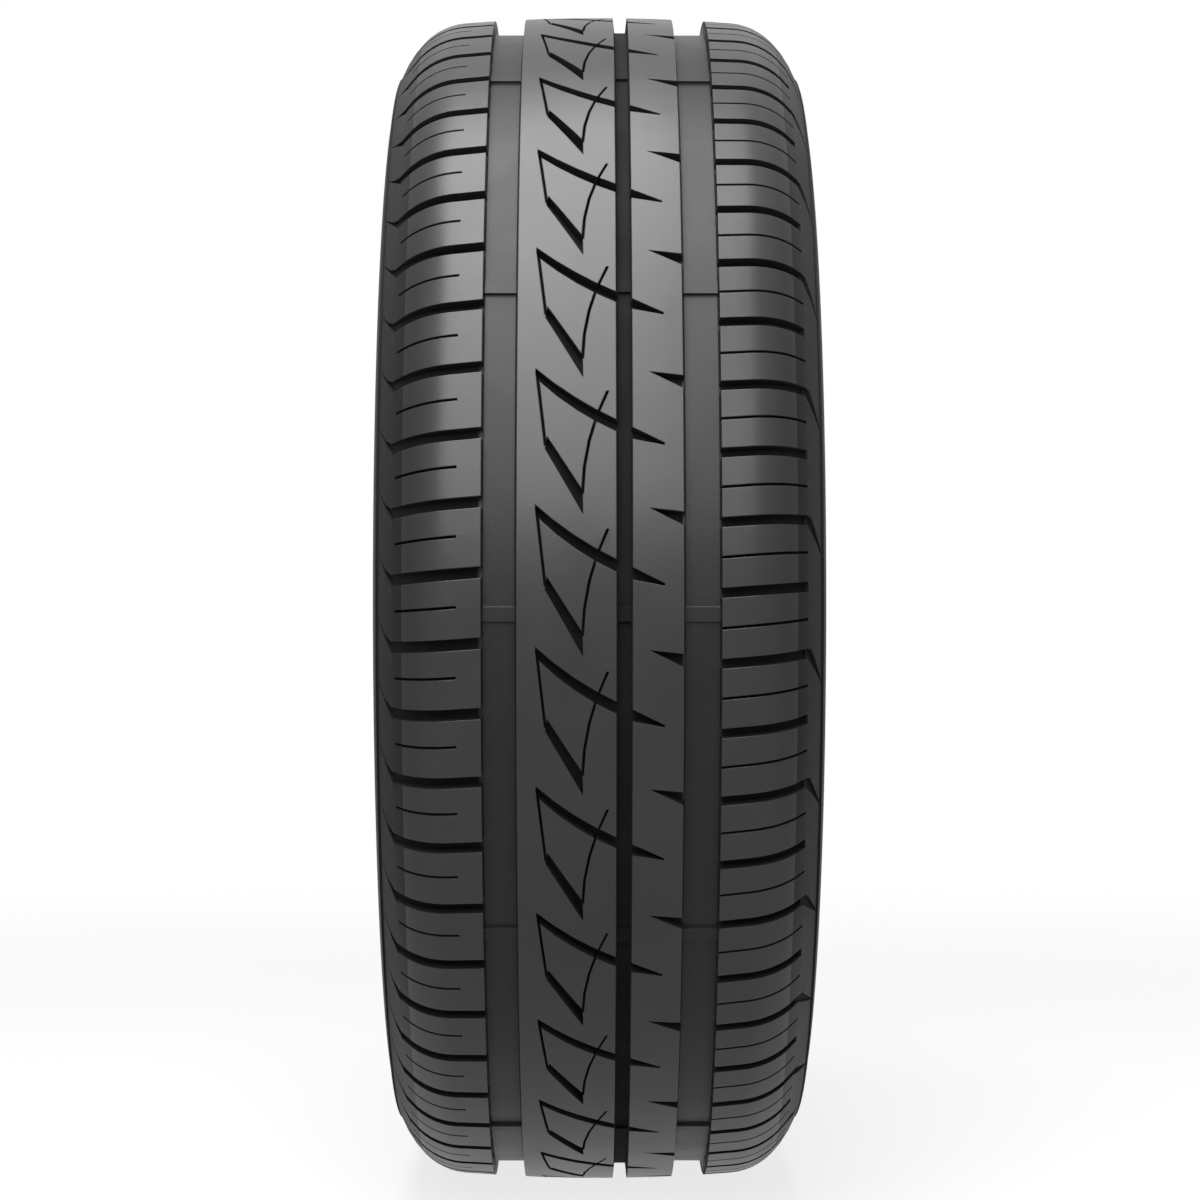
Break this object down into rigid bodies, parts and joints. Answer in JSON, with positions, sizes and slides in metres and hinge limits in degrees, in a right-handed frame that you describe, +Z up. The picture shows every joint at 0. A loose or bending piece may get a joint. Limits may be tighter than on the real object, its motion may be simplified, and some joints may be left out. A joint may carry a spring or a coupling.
{
  "type": "car tyre",
  "caption": "Bare radial tyre for a passenger car, with long grooves, slanted V cuts and cross grooves in its tread, plain sidewalls and open beads for a wheel rim.",
  "frame": {"origin": "centre of the tyre, on the axis that it spins about and halfway between its two sidewalls", "axes": "+Y along the spin axis, towards the right side of the picture; +Z up, from the flat where the tyre stands; +X towards the side of the tread that the picture shows"},
  "size_m": [0.6318, 0.216, 0.6307],
  "materials": {
    "tyre": "satin"
  },
  "bodies": {
    "root": {"tyre": "tyre"}
  },
  "joints": []
}
